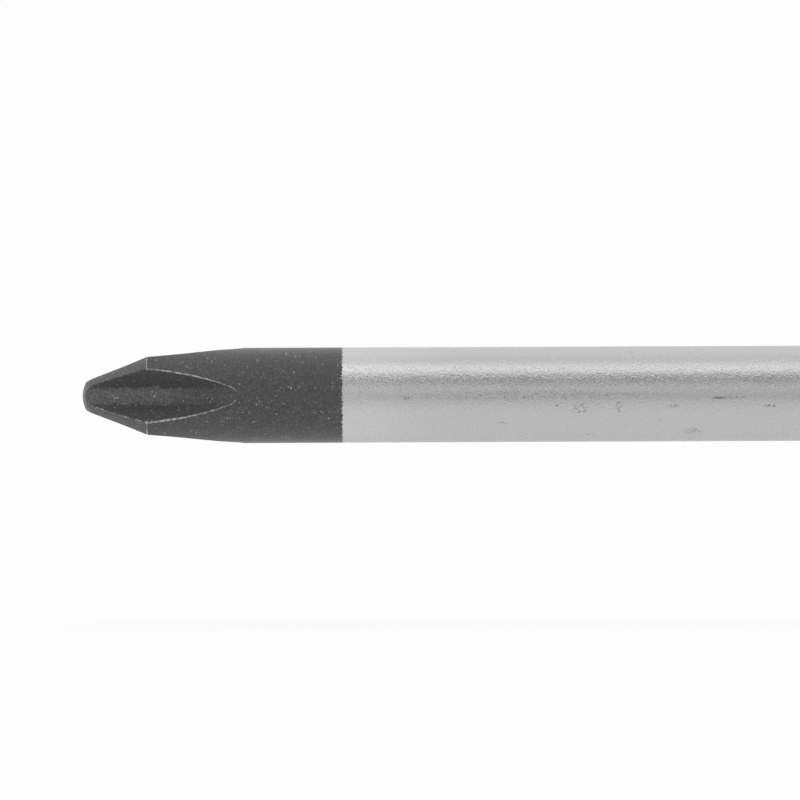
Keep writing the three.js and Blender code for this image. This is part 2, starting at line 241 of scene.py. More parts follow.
@dataclass(frozen=True)
class ToolAxis:
    """Where the tool lies in the frame, and where its pieces start and end, in millimetres from the tip."""

    tip_x: float
    height: float

    @classmethod
    def from_frame(cls) -> "ToolAxis":
        """Reads the tip from the blade, and the height of the axis from the body of the handle."""
        body_low, body_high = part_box("handle_body")
        return cls(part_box("blade")[0][0], (body_low[2] + body_high[2]) / 2)

    def span(self, node: str) -> tuple[float, float]:
        """Start and end of a CAD node along the tool."""
        low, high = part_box(node)
        return (low[0] - self.tip_x) / MM, (high[0] - self.tip_x) / MM

    def matrix(self) -> Matrix:
        """Takes a point from the tool's millimetres to the frame's metres."""
        return Matrix.Translation((self.tip_x, 0, self.height)) @ Matrix.Scale(MM, 4)

    def place(self, bm: bmesh.types.BMesh, name: str, sharp: float = SHARP_DEGREES) -> bpy.types.Object:
        """Makes an object of a finished mesh.

        Args:
            bm: The mesh, in the tool's millimetres. It is freed.
            name: The new object's name.
            sharp: Edges sharper than this many degrees stay sharp.

        Returns:
            The object, at the origin, with its place in its mesh.
        """
        bmesh.ops.transform(bm, matrix=self.matrix(), verts=bm.verts[:])
        mesh = bpy.data.meshes.new(name)
        bm.to_mesh(mesh)
        bm.free()
        thing = bpy.data.objects.new(name, mesh)
        bpy.context.scene.collection.objects.link(thing)
        shade(thing, sharp)
        return thing


def shade(thing: bpy.types.Object, sharp: float = SHARP_DEGREES) -> None:
    """Shades an object smooth.

    Args:
        thing: The object.
        sharp: Edges sharper than this many degrees stay sharp.
    """
    mesh = thing.data
    mesh.polygons.foreach_set("use_smooth", [True] * len(mesh.polygons))
    mesh.set_sharp_from_angle(angle=math.radians(sharp))
    mesh.update()


def bake_modifiers(thing: bpy.types.Object) -> None:
    """Puts what an object's modifiers make into its mesh, and removes them.

    Args:
        thing: The object. It gets a new mesh.
    """
    bpy.context.view_layer.update()
    graph = bpy.context.evaluated_depsgraph_get()
    before = thing.data
    thing.data = bpy.data.meshes.new_from_object(thing.evaluated_get(graph))
    thing.modifiers.clear()
    bpy.data.meshes.remove(before)


def cut_with(thing: bpy.types.Object, cutters: list[bpy.types.Object]) -> None:
    """Cuts objects out of another one and removes the cutters.

    Args:
        thing: What is cut.
        cutters: Closed objects.
    """
    for cutter in cutters:
        cut = thing.modifiers.new("cut", "BOOLEAN")
        cut.operation = "DIFFERENCE"
        cut.solver = "EXACT"
        cut.object = cutter
    bake_modifiers(thing)
    for cutter in cutters:
        bpy.data.meshes.remove(cutter.data)
    shade(thing)


def round_edges(thing: bpy.types.Object, width: float, angle: float) -> None:
    """Rounds an object's sharp edges with a bevel.

    Args:
        thing: The object.
        width: The bevel's width in millimetres.
        angle: Edges sharper than this many degrees are rounded.
    """
    bevel = thing.modifiers.new("round_edges", "BEVEL")
    bevel.width = width * MM
    bevel.segments = 3
    bevel.limit_method = "ANGLE"
    bevel.angle_limit = math.radians(angle)
    bake_modifiers(thing)


def stand_for(thing: bpy.types.Object, node: str, material: bpy.types.Material) -> None:
    """Shows an object in place of a CAD node, with a finish.

    Args:
        thing: The object.
        node: The CAD node that it stands for.
        material: The finish.
    """
    thing.data.materials.clear()
    thing.data.materials.append(material)
    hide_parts(node)
    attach(thing, ROOT_BODY)
    log.info("%s: %d faces", thing.name, len(thing.data.polygons))


# Small tools for materials


class Graph:
    """Adds nodes to one node tree and joins them."""

    def __init__(self, tree: bpy.types.NodeTree) -> None:
        """Keeps the tree that the nodes go into."""
        self.tree = tree

    def feed(self, socket: Socket, value: Input) -> None:
        """Links an output to an input, or sets the input's own value.

        Args:
            socket: The input.
            value: An output of another node, or a number, vector or colour.
        """
        if isinstance(value, Socket):
            self.tree.links.new(value, socket)
        else:
            socket.default_value = value

    def node(
        self, kind: str, inputs: dict[str | int, Input] | None = None, **settings: object
    ) -> bpy.types.Node:
        """Adds one node.

        Args:
            kind: The node's type.
            inputs: What its inputs get, by name or number.
            settings: Its other properties.

        Returns:
            The node.
        """
        made = self.tree.nodes.new(kind)
        for name, value in settings.items():
            setattr(made, name, value)
        for key, value in (inputs or {}).items():
            self.feed(made.inputs[key], value)
        return made

    def math(self, operation: str, *values: Input) -> Socket:
        """The result of one Math node."""
        return self.node("ShaderNodeMath", dict(enumerate(values)), operation=operation).outputs[0]

    def scaled(self, vector: Socket, factors: tuple[float, float, float]) -> Socket:
        """A vector multiplied by a number on each axis."""
        return self.node("ShaderNodeVectorMath", {0: vector, 1: factors}, operation="MULTIPLY").outputs[0]

    def millimetres(self) -> Socket:
        """The Object coordinates, in millimetres."""
        coordinates = self.node("ShaderNodeTexCoord").outputs["Object"]
        return self.scaled(coordinates, (1 / MM, 1 / MM, 1 / MM))

    def noise(self, vector: Input, scale: Input, detail: float = 2.0, roughness: float = 0.5) -> Socket:
        """The value of a Noise texture, about 0.5 on average."""
        inputs = {"Vector": vector, "Scale": scale, "Detail": detail, "Roughness": roughness}
        return self.node("ShaderNodeTexNoise", inputs).outputs[0]

    def ease(self, value: Input, low: Input, high: Input) -> Socket:
        """A smooth step from 0 at low to 1 at high."""
        inputs = {"Value": value, "From Min": low, "From Max": high}
        return self.node("ShaderNodeMapRange", inputs, interpolation_type="SMOOTHSTEP").outputs[0]

    def blend(self, factor: Input, a: Input, b: Input) -> Socket:
        """A number between a and b."""
        return self.node("ShaderNodeMix", {0: factor, 2: a, 3: b}, data_type="FLOAT").outputs[0]

    def tint(self, factor: Input, a: Input, b: Input) -> Socket:
        """A colour between a and b."""
        return self.node("ShaderNodeMix", {0: factor, 6: a, 7: b}, data_type="RGBA").outputs[2]

    def bump(self, height: Input, depth: float) -> Socket:
        """A normal from a height, whose full range stands for depth in millimetres."""
        return self.node("ShaderNodeBump", {"Height": height, "Distance": depth * MM}).outputs[0]


def new_group(name: str, inputs: dict[str, float], output: str) -> tuple[Graph, dict[str, Socket]]:
    """Starts a node group that reads a position in millimetres and puts out one value.

    Args:
        name: The group's name.
        inputs: Its number inputs with their usual values.
        output: The name of its output.

    Returns:
        The group's graph, and its inputs by name, with the output's own socket under that output's name.
    """
    tree = bpy.data.node_groups.new(name, "ShaderNodeTree")
    tree.interface.new_socket("Position", in_out="INPUT", socket_type="NodeSocketVector")
    for label, usual in inputs.items():
        tree.interface.new_socket(label, in_out="INPUT", socket_type="NodeSocketFloat").default_value = usual
    tree.interface.new_socket(output, in_out="OUTPUT", socket_type="NodeSocketFloat")
    graph = Graph(tree)
    sockets = {socket.name: socket for socket in graph.node("NodeGroupInput").outputs if socket.name}
    sockets[output] = graph.node("NodeGroupOutput").inputs[output]
    return graph, sockets


class Effects:
    """The node groups that several finishes share, each built once."""

    def __init__(self) -> None:
        """Builds the groups."""
        self.groups = {
            "grain": self.grain(),
            "specks": self.specks(),
            "handling": self.handling(),
        }

    @staticmethod
    def grain() -> bpy.types.NodeTree:
        """Fine surface grain as a height: small noise over larger noise.

        Returns:
            The group.
        """
        graph, at = new_group("surface_grain", {"Fine": 8.0, "Coarse": 2.0, "Coarse share": 0.3}, "Height")
        fine = graph.noise(at["Position"], at["Fine"], detail=2.0, roughness=0.6)
        coarse = graph.noise(at["Position"], at["Coarse"], detail=1.0)
        graph.feed(at["Height"], graph.blend(at["Coarse share"], fine, coarse))
        return graph.tree

    @staticmethod
    def specks() -> bpy.types.NodeTree:
        """Scattered small specks as a mask: a share of the cells of a Voronoi pattern, each with one dot.

        Returns:
            The group.
        """
        least_size, full_core = 0.3, 0.4
        graph, at = new_group("scattered_specks", {"Cells": 3.0, "Share": 0.2, "Radius": 0.2}, "Mask")
        cells = graph.node("ShaderNodeTexVoronoi", {"Vector": at["Position"], "Scale": at["Cells"]})
        lot = graph.node("ShaderNodeSeparateColor", {0: cells.outputs["Color"]})
        chosen = graph.math("LESS_THAN", lot.outputs[0], at["Share"])
        size = graph.math("MULTIPLY", at["Radius"], graph.math("ADD", lot.outputs[1], least_size))
        outside = graph.ease(cells.outputs["Distance"], graph.math("MULTIPLY", size, full_core), size)
        graph.feed(at["Mask"], graph.math("MULTIPLY", chosen, graph.math("SUBTRACT", 1.0, outside)))
        return graph.tree

    @staticmethod
    def handling() -> bpy.types.NodeTree:
        """Marks of handling as a mask: soft smears, broken by finer noise.

        Returns:
            The group.
        """
        graph, at = new_group("handling_marks", {"Smear": 0.15, "Break": 1.2}, "Mask")
        smear = graph.noise(at["Position"], at["Smear"], detail=3.0)
        broken = graph.noise(at["Position"], at["Break"], detail=3.0, roughness=0.65)
        marks = graph.ease(graph.math("MULTIPLY", smear, broken), low=0.18, high=0.34)
        graph.feed(at["Mask"], marks)
        return graph.tree

    def use(self, graph: Graph, name: str, position: Socket, **values: Input) -> Socket:
        """Places one of the groups in a material.

        Args:
            graph: The material's graph.
            name: Which group.
            position: The place on the surface, in millimetres.
            values: The group's other inputs, with underscores for spaces.

        Returns:
            The group's output.
        """
        inputs = {label.replace("_", " "): value for label, value in values.items()}
        group = graph.node("ShaderNodeGroup", node_tree=self.groups[name])
        graph.feed(group.inputs["Position"], position)
        for label, value in inputs.items():
            graph.feed(group.inputs[label], value)
        return group.outputs[0]


def new_material(name: str) -> tuple[bpy.types.Material, Graph, bpy.types.Node]:
    """Starts a material.

    Args:
        name: The material's name.

    Returns:
        The material, its graph and its Principled shader.
    """
    material = bpy.data.materials.new(name)
    material.use_nodes = True
    tree = material.node_tree
    return material, Graph(tree), tree.nodes["Principled BSDF"]


def grey(level: float) -> tuple[float, float, float, float]:
    """A neutral colour."""
    return (level, level, level, 1.0)


# Finishes


@dataclass(frozen=True)
class Scuff:
    """A scuff in the plating: its place from the tip and below the front line, half sizes and strength."""

    x: float
    degrees: float
    length: float
    width: float
    strength: float = 1.0
    solid: bool = False


@dataclass(frozen=True)
class BladeFinish:
    """Satin chrome with scuffs, and a black phosphated tip that ends at a masking line."""

    radius: float = 3.0
    chrome: float = 0.507
    chrome_edge: float = 0.74
    chrome_mottle: float = 0.02
    chrome_roughness: float = 0.08
    handled_roughness: float = 0.03
    frost_roughness: float = 0.24
    near_line_gain: float = 1.12
    near_line_roughness: float = 0.06
    near_line_reach: float = 8.0
    scratch_share: float = 0.3
    grain_depth: float = 0.036
    pit_share: float = 0.2
    bare_steel: float = 0.6
    least_wear: float = 0.32
    black: float = 0.045
    black_mottle: float = 0.28
    black_roughness: float = 0.6
    black_ior: float = 1.5
    # Pale end of the black, where screws wear it; the darkest end is painted shade on the flanks.
    rubbed_and_shaded_black: float = 0.115
    rubbed_mottle: float = 0.4
    crystal: float = 0.45
    fine_crystal_share: float = 0.6
    dust: float = 0.27
    dust_roughness: float = 0.45
    line_x: float = 16.36
    line_ragged: float = 0.44
    line_fade: float = 0.02
    scuffs: tuple[Scuff, ...] = (
        Scuff(40.0, 5.0, 0.62, 0.10, strength=0.8, solid=True),
        Scuff(41.0, 4.0, 0.90, 0.20),
        Scuff(31.3, 17.5, 0.65, 0.50),
        Scuff(33.7, 16.5, 0.30, 0.55),
        Scuff(37.1, 15.5, 0.55, 0.20),
        Scuff(38.4, 53.0, 0.80, 0.50),
        Scuff(31.9, 58.0, 0.50, 0.18),
        Scuff(34.4, -60.0, 0.40, 0.30),
        Scuff(26.4, 3.0, 0.60, 0.25),
        Scuff(28.0, 1.0, 11.0, 0.42, strength=0.5),
        Scuff(23.5, -30.0, 0.22, 0.12),
        Scuff(29.8, 13.7, 0.11, 0.09, strength=0.8, solid=True),
        Scuff(36.3, 34.0, 0.07, 0.07, strength=0.8, solid=True),
        Scuff(20.3, 3.0, 0.50, 0.20),
        Scuff(43.2, 15.0, 0.60, 0.22),
    )

    def material(self, effects: Effects, axis: ToolAxis) -> bpy.types.Material:
        """Builds the material.

        Args:
            effects: The shared node groups.
            axis: Gives the place of the tip, from which the masking line is measured.

        Returns:
            The material.
        """
        material, graph, shader = new_material("blade_finish")
        shader.inputs["IOR"].default_value = self.black_ior
        shader.inputs["Specular Tint"].default_value = grey(self.chrome_edge)
        shader.inputs["Sheen Weight"].default_value = self.dust
        shader.inputs["Sheen Roughness"].default_value = self.dust_roughness
        place = graph.millimetres()
        flat = self.unrolled(graph, place, axis)
        from_line = self.from_line(graph, place, flat)
        plated = graph.ease(from_line, -self.line_fade, self.line_fade)
        bright = graph.math("MAXIMUM", plated, self.worn(graph, place))
        behind = graph.ease(from_line, 0.0, self.near_line_reach)

        marks = self.scratches(graph, effects, place, flat)
        steel = graph.tint(plated, grey(self.bare_steel), self.plating(graph, place, behind, marks))
        coat = self.phosphate(graph, effects, place)
        graph.feed(shader.inputs["Base Color"], graph.tint(bright, coat, steel))
        graph.feed(shader.inputs["Metallic"], bright)
        satin = self.satin(graph, effects, place, behind)
        graph.feed(shader.inputs["Roughness"], graph.blend(plated, self.black_roughness, satin))
        grain = effects.use(graph, "grain", place, Fine=11.0, Coarse=4.5, Coarse_share=0.42)
        pits = effects.use(graph, "specks", place, Cells=5.5, Share=0.6, Radius=0.45)
        pitted = graph.math("SUBTRACT", grain, graph.math("MULTIPLY", pits, self.pit_share))
        graph.feed(shader.inputs["Normal"], graph.bump(pitted, self.grain_depth))
        return material

    def unrolled(self, graph: Graph, place: Socket, axis: ToolAxis) -> Socket:
        """Lays the blade's surface out flat.

        Args:
            graph: The material's graph.
            place: The place on the surface, in millimetres.
            axis: Where the tool lies.

        Returns:
            A vector: along the blade from the tip, and round it from the front line downwards.
        """
        origin = (axis.tip_x / MM, 0.0, axis.height / MM)
        local = graph.node("ShaderNodeVectorMath", {0: place, 1: origin}, operation="SUBTRACT").outputs[0]
        parts = graph.node("ShaderNodeSeparateXYZ", {0: graph.scaled(local, (1.0, -1.0, -1.0))}).outputs
        turn = graph.math("ARCTAN2", parts[2], parts[1])
        around = graph.math("MULTIPLY", turn, self.radius)
        return graph.node("ShaderNodeCombineXYZ", {0: parts[0], 1: around}).outputs[0]

    def from_line(self, graph: Graph, place: Socket, flat: Socket) -> Socket:
        """Measures from the masking line, which is a little ragged.

        Args:
            graph: The material's graph.
            place: The place on the surface, in millimetres.
            flat: The same place on the surface laid out flat.

        Returns:
            The distance behind the line.
        """
        along = graph.node("ShaderNodeSeparateXYZ", {0: flat}).outputs[0]
        ragged = graph.math("SUBTRACT", graph.noise(place, scale=7.0, detail=4.0, roughness=0.8), 0.5)
        moved = graph.math("MULTIPLY", ragged, self.line_ragged)
        return graph.math("ADD", graph.math("SUBTRACT", along, self.line_x), moved)

    def plating(self, graph: Graph, place: Socket, behind: Socket, marks: Socket) -> Socket:
        """Colours the chrome: finely mottled, brighter near the masking line, and dark in its marks.

        Args:
            graph: The material's graph.
            place: The place on the surface, in millimetres.
            behind: From 0 at the masking line to 1 where the plating has its usual look.
            marks: Where scratches are.

        Returns:
            The colour.
        """
        mottle = graph.ease(graph.noise(place, scale=9.0, detail=2.0, roughness=0.7), low=0.3, high=0.7)
        mottled = graph.blend(mottle, 1 - self.chrome_mottle, 1 + self.chrome_mottle)
        usual = graph.blend(behind, self.chrome * self.near_line_gain, self.chrome)
        level = graph.math("MULTIPLY", usual, mottled)
        clean = graph.node("ShaderNodeCombineColor", {0: level, 1: level, 2: level}).outputs[0]
        return graph.tint(marks, clean, grey(self.chrome * self.scratch_share))

    def satin(self, graph: Graph, effects: Effects, place: Socket, behind: Socket) -> Socket:
        """Makes the chrome's roughness uneven: frosted in small grains, and rougher near the masking line.

        Args:
            graph: The material's graph.
            effects: The shared node groups.
            place: The place on the surface, in millimetres.
            behind: As for the colour.

        Returns:
            The roughness.
        """
        handled = effects.use(graph, "handling", place, Smear=0.12, Break=1.4)
        frost = graph.ease(graph.noise(place, scale=10.0, detail=1.0), low=0.5, high=0.62)
        ground = graph.blend(behind, self.chrome_roughness + self.near_line_roughness, self.chrome_roughness)
        touched = graph.math("MULTIPLY", handled, self.handled_roughness)
        frosted = graph.math("MULTIPLY", frost, self.frost_roughness)
        return graph.math("ADD", ground, graph.math("ADD", touched, frosted))

    def phosphate(self, graph: Graph, effects: Effects, place: Socket) -> Socket:
        """Colours the black coat: finely mottled, paler where screws wear it, darkest on the flanks as
        painted shade, with pale crystals in it.

        Args:
            graph: The material's graph.
            effects: The shared node groups.
            place: The place on the surface, in millimetres.

        Returns:
            The colour.
        """
        # Paleness from the mesh: screw wear on floors, blunt end and cone, and 0 on the flanks, which is
        # painted shade.
        rub_and_shade = graph.node("ShaderNodeAttribute", attribute_name="rubbed_and_shaded_black").outputs["Fac"]
        mottle = graph.ease(graph.noise(place, scale=7.0, detail=3.0, roughness=0.7), low=0.3, high=0.7)
        deep, thin = (
            graph.tint(mottle, grey(level * (1 - spread)), grey(level * (1 + spread)))
            for level, spread in ((self.black, self.black_mottle), (self.rubbed_and_shaded_black, self.rubbed_mottle))
        )
        coat = graph.tint(rub_and_shade, deep, thin)
        fine = effects.use(graph, "specks", place, Cells=6.5, Share=0.42, Radius=0.4)
        large = effects.use(graph, "specks", place, Cells=3.4, Share=0.22, Radius=0.22)
        crystals = graph.math("MAXIMUM", graph.math("MULTIPLY", fine, self.fine_crystal_share), large)
        patches = graph.ease(graph.noise(place, scale=1.3, detail=3.0, roughness=0.6), low=0.35, high=0.7)
        return graph.tint(graph.math("MULTIPLY", crystals, patches), coat, grey(self.crystal))

    def worn(self, graph: Graph, place: Socket) -> Socket:
        """Rubs the black through to bare steel, in broken lines along the marked edges.

        Args:
            graph: The material's graph.
            place: The place on the surface, in millimetres.

        Returns:
            A mask of the bare steel.
        """
        edge = graph.node("ShaderNodeAttribute", attribute_name="worn_edge").outputs["Fac"]
        stretches = graph.ease(graph.noise(place, scale=0.8, detail=2.0), low=0.25, high=0.6)
        broken = graph.ease(graph.noise(place, scale=5.0, detail=3.0, roughness=0.7), low=0.4, high=0.62)
        patchy = graph.blend(graph.math("MULTIPLY", stretches, broken), self.least_wear, 1.0)
        return graph.ease(graph.math("MULTIPLY", edge, patchy), low=0.1, high=0.75)

    def scratches(self, graph: Graph, effects: Effects, place: Socket, flat: Socket) -> Socket:
        """Scratches the plating: in the scuffs, in patches all over, and as single pits.

        Args:
            graph: The material's graph.
            effects: The shared node groups.
            place: The place on the surface, in millimetres.
            flat: The same place on the surface laid out flat.

        Returns:
            A mask of the scratches.
        """
        spread = graph.noise(graph.scaled(flat, (0.6, 0.9, 1.0)), scale=0.8, detail=1.0)
        patches = graph.ease(spread, low=0.72, high=0.86)
        nicks = effects.use(graph, "specks", place, Cells=0.8, Share=0.05, Radius=0.08)
        for scuff in self.scuffs:
            middle = (scuff.x, math.radians(scuff.degrees) * self.radius, 0.0)
            away = graph.node("ShaderNodeVectorMath", {0: flat, 1: middle}, operation="SUBTRACT").outputs[0]
            shrunk = graph.scaled(away, (1 / scuff.length, 1 / scuff.width, 0.0))
            reach = graph.node("ShaderNodeVectorMath", {0: shrunk}, operation="LENGTH").outputs["Value"]
            spot = graph.math("MULTIPLY", graph.ease(reach, low=1.0, high=0.3), scuff.strength)
            if scuff.solid:
                nicks = graph.math("MAXIMUM", nicks, spot)
            else:
                patches = graph.math("MAXIMUM", patches, spot)
        wander = graph.noise(graph.scaled(flat, (1.0, 1.5, 1.0)), scale=2.4, detail=2.0, roughness=0.7)
        from_middle = graph.math("ABSOLUTE", graph.math("SUBTRACT", wander, 0.5))
        dashes = graph.ease(graph.noise(flat, scale=6.0, detail=1.0), low=0.38, high=0.55)
        lines = graph.math("MULTIPLY", graph.ease(from_middle, low=0.045, high=0.015), dashes)
        return graph.math("MAXIMUM", graph.math("MULTIPLY", patches, lines), nicks)


@dataclass(frozen=True)
class Moulding:
    """A moulded surface with fine grain, marks of hands and pale dust: hard plastic by its usual values."""

    name: str
    colour: tuple[float, float, float]
    roughness: float = 0.34
    polish: float = 0.1
    handled_gain: float = 1.2
    handled_lift: float = 0.004
    smear: float = 0.08
    smear_break: float = 0.7
    grain_fine: float = 5.0
    grain_coarse: float = 1.5
    grain_coarse_share: float = 0.25
    grain_depth: float = 0.012
    dust_cells: float = 1.1
    dust_share: float = 0.10
    dust_radius: float = 0.12
    dust_cover: float = 0.25
    dust_grey: float = 0.35

    @classmethod
    def soft_grip(cls) -> "Moulding":
        """Soft rubbery grip: matt, with a leathery grain, and darker where it is held.

        Returns:
            The finish.
        """
        return cls(
            "soft_grip",
            (0.080, 0.084, 0.090),
            roughness=0.78,
            polish=0.16,
            handled_gain=0.72,
            handled_lift=0.0,
            smear=0.1,
            smear_break=0.9,
            grain_fine=3.4,
            grain_coarse=1.3,
            grain_coarse_share=0.3,
            grain_depth=0.035,
            dust_cells=1.6,
            dust_share=0.14,
            dust_cover=0.3,
            dust_grey=0.4,
        )

    def material(self, effects: Effects) -> bpy.types.Material:
        """Builds the material.

        Args:
            effects: The shared node groups.

        Returns:
            The material.
        """
        material, graph, shader = new_material(self.name)
        place = graph.millimetres()
        handled = effects.use(graph, "handling", place, Smear=self.smear, Break=self.smear_break)
        dust = effects.use(
            graph, "specks", place, Cells=self.dust_cells, Share=self.dust_share, Radius=self.dust_radius
        )
        held = (min(1.0, part * self.handled_gain + self.handled_lift) for part in self.colour)
        colour = graph.tint(handled, (*self.colour, 1.0), (*held, 1.0))
        dusted = graph.math("MULTIPLY", dust, self.dust_cover)
        graph.feed(shader.inputs["Base Color"], graph.tint(dusted, colour, grey(self.dust_grey)))
        smooth = self.roughness - self.polish
        graph.feed(shader.inputs["Roughness"], graph.blend(handled, self.roughness, smooth))
        grain = effects.use(
            graph,
            "grain",
            place,
            Fine=self.grain_fine,
            Coarse=self.grain_coarse,
            Coarse_share=self.grain_coarse_share,
        )
        graph.feed(shader.inputs["Normal"], graph.bump(grain, self.grain_depth))
        return material


# Pieces of the tool


@dataclass(frozen=True)
class Flute:
    """One of the four flutes of the cross tip, in millimetres."""

    core: float = 1.98
    floor_half: float = 0.515
    hollow: float = 0.12
    flank_angle: float = math.radians(45.7)
    arc_radius: float = 20.8
    arc_setback: float = 0.63
    halvings: int = 30

    def floor(self, x: float) -> float:
        """Distance of the sides of the floor from the axis."""
        along = min(abs(x - self.arc_setback), self.arc_radius)
        return self.core / 2 + self.arc_radius - math.sqrt(self.arc_radius**2 - along**2)

    def end_x(self, blade_radius: float) -> float:
        """Where the middle of the floor runs out at the surface of the blade."""
        rise = blade_radius + self.hollow - self.core / 2
        return self.arc_setback + math.sqrt(2 * self.arc_radius * rise - rise**2)

    def depth_limit(self, x: float, angle: float) -> float:
        """Radius of the flute's surface in one direction.

        Args:
            x: Distance from the tip.
            angle: Angle from the middle of the flute.

        Returns:
            The radius, or infinity beyond the flanks.
        """
        side = abs(angle)
        level = self.floor(x)
        on_floor = level / math.cos(side)
        across = on_floor * math.sin(side)
        if across <= self.floor_half:
            return (level - self.hollow * (1 - (across / self.floor_half) ** 2)) / math.cos(side)
        slope = 1 / math.tan(self.flank_angle)
        closing = math.cos(side) - slope * math.sin(side)
        reach = level - slope * self.floor_half
        return reach / closing if closing > 0 and reach > 0 else math.inf

    def rim_angle(self, x: float, radius: float) -> float:
        """Angle at which a flank meets a round surface, found by halving.

        Args:
            x: Distance from the tip.
            radius: The round surface's radius there.

        Returns:
            The angle from the middle of the flute.
        """
        low, high = 0.0, QUARTER / 2
        for _ in range(self.halvings):
            middle = (low + high) / 2
            if self.depth_limit(x, middle) < radius:
                low = middle
            else:
                high = middle
        return low


@dataclass
class Blade:
    """The steel bar: blunt cross tip, round shank, and the tang with its ears, in millimetres."""

    axis: ToolAxis
    finish: BladeFinish
    radius: float = 3.0
    dome_height: float = 0.38
    dome_reach: float = 1.064
    dome_blend: float = 0.25
    dome_rings: int = 12
    end_radius: float = 1.145
    cone_angle: float = math.radians(26.5)
    edge_round: float = 0.035
    flute: Flute = field(default_factory=Flute)
    floor_steps: int = 4
    flank_steps: int = 8
    wing_steps: int = 7
    floor_share: float = 0.6
    least_floor: float = math.radians(2)
    least_flank: float = math.radians(3)
    tang_length: float = 30.0
    tang_step: float = 0.5
    tang_chamfer: float = 0.8
    sharp_degrees: float = 32.0
    ear_half_span: float = 5.2
    ear_half_thickness: float = 1.2
    ear_half_length: float = 3.5
    ear_lead: float = 2.0
    ear_setback: float = 8.0
    ear_pitch: float = 11.0
    run_out: float = 1.5
    run_out_round: float = 0.22
    run_out_start: float = 7.6
    worn_reach: float = 0.055
    worn_setback: float = 0.1
    front_wear: float = 0.3
    front_wear_below: float = 0.62
    corner_wear: float = 1.2
    # How pale the black is where screws wear it; the flanks get 0, the darkest black, which is painted shade.
    dome_rub: float = 0.8
    cone_rub: float = 0.68
    open_rub: float = 0.32
    floor_rub_end: float = 9.0
    floor_rub_fade: float = 4.0
    floor_side_drop: float = 0.4

    @property
    def cone_end(self) -> float:
        """Where the cone reaches the full diameter."""
        return self.dome_height + (self.radius - self.end_radius) / math.tan(self.cone_angle)

    @property
    def flute_end(self) -> float:
        """Where the flutes run out."""
        return self.flute.end_x(self.radius)

    @property
    def half_steps(self) -> int:
        """Steps from the middle of a flute to the middle of a wing."""
        return self.floor_steps + self.flank_steps + self.wing_steps

    def body_radius(self, x: float) -> float:
        """Radius of the bar before the flutes are cut, with its corners rounded.

        Args:
            x: Distance from the tip.

        Returns:
            The radius.
        """
        dome = (self.end_radius**2 + self.dome_height**2) / (2 * self.dome_height)
        blunt = math.sqrt(2 * dome * x - x * x) if x < self.dome_reach else math.inf
        cone = self.radius - (self.cone_end - x) * math.tan(self.cone_angle)
        tip = smooth_least(blunt, cone, min(self.dome_blend, x + WELD))
        return smooth_least(tip, self.radius, self.edge_round)

    def stations(self, tang_end: float) -> list[float]:
        """The places of the rings along the bar: close together where the shape changes.

        Args:
            tang_end: The end of the bar.

        Returns:
            Distances from the tip.
        """
        tang_start = tang_end - self.tang_length
        # Where each stretch starts, and how far apart its rings are
        runs = [
            (self.dome_height + 0.04, 0.05),
            (0.8, 0.06),
            (self.cone_end - 0.2, 0.02),
            (self.cone_end + 0.2, 0.12),
            (self.flute_end - 1.2, 0.06),
            (self.flute_end + 0.3, 0.15),
            (self.flute_end + self.run_out, 4.0),
        ]
        ends = [start for start, _ in runs[1:]] + [tang_start]
        out = [self.dome_height * (i / self.dome_rings) ** 2 for i in range(1, self.dome_rings + 1)]
        for (start, step), end in zip(runs, ends):
            count = max(1, round((end - start) / step))
            out += [start + (end - start) * i / count for i in range(count)]
        tang_rings = int((self.tang_length - self.tang_chamfer) / self.tang_step) + 1
        return out + [tang_start + self.tang_step * i for i in range(tang_rings)]

    def build(self) -> bpy.types.Object:
        """Spins the bar and sinks its flutes.

        Returns:
            The object.
        """
        tang_end = self.axis.span("blade")[1]
        path = [Vector((0.0, 0.0))]
        path += [Vector((x, self.body_radius(x))) for x in self.stations(tang_end)]
        path.append(Vector((tang_end - self.tang_chamfer, self.radius)))
        path.append(Vector((tang_end, self.radius - self.tang_chamfer)))
        path.append(Vector((tang_end, 0.0)))
        bm = turned(path, 8 * self.half_steps)
        worn = bm.verts.layers.float.new("worn_edge")
        # Paleness of the black: wear by screws, with painted shade on the flanks.
        rub_and_shade_layer = bm.verts.layers.float.new("rubbed_and_shaded_black")
        flute_zone = self.flute_end + self.run_out
        for vert in bm.verts:
            if math.hypot(vert.co.y, vert.co.z) < WELD:
                continue
            vert[rub_and_shade_layer] = self.open_rub
            if vert.co.x < flute_zone:
                vert[worn], vert[rub_and_shade_layer] = self.sink(vert)
            elif vert.co.x > tang_end - self.tang_length:
                self.swage(vert, tang_end)
        return self.axis.place(bm, "steel_blade", sharp=self.sharp_degrees)

    def sink(self, vert: bmesh.types.BMVert) -> tuple[float, float]:
        """Moves one point of the tip on to the fluted surface.

        Args:
            vert: The point. It slides along its ring to where the flute needs it, and then in to the surface.

        Returns:
            How worn the point is, 1 on a bare edge, and how pale its black is: worn by screws, and darkest on
            the flanks as painted shade.
        """
        x, radius = vert.co.x, math.hypot(vert.co.y, vert.co.z)
        angle = math.atan2(vert.co.y, vert.co.z)
        middle = QUARTER * round(angle / QUARTER)
        side = angle - middle
        rim = self.flute.rim_angle(x, radius)
        even = min(1.0, max(0.0, (x - self.flute_end) / self.run_out))
        slid = math.copysign(self.slide(x, abs(side), rim), side)
        slid += (side - slid) * even
        cut = smooth_least(radius, self.flute.depth_limit(x, slid), self.rim_round(x))
        vert.co.y = cut * math.sin(middle + slid)
        vert.co.z = cut * math.cos(middle + slid)
        front_wear = self.front_wear if vert.co.z > 0 else self.front_wear_below
        return self.wear(x, radius, abs(slid), rim, front_wear), self.rub_and_shade(x, cut, abs(slid), rim)

    def rim_round(self, x: float) -> float:
        """Rounding of a flute's rims, which grows where the flute runs out."""
        share = (x - self.run_out_start) / (self.flute_end - self.run_out_start)
        return self.edge_round + self.run_out_round * min(1.0, max(0.0, share)) ** 2

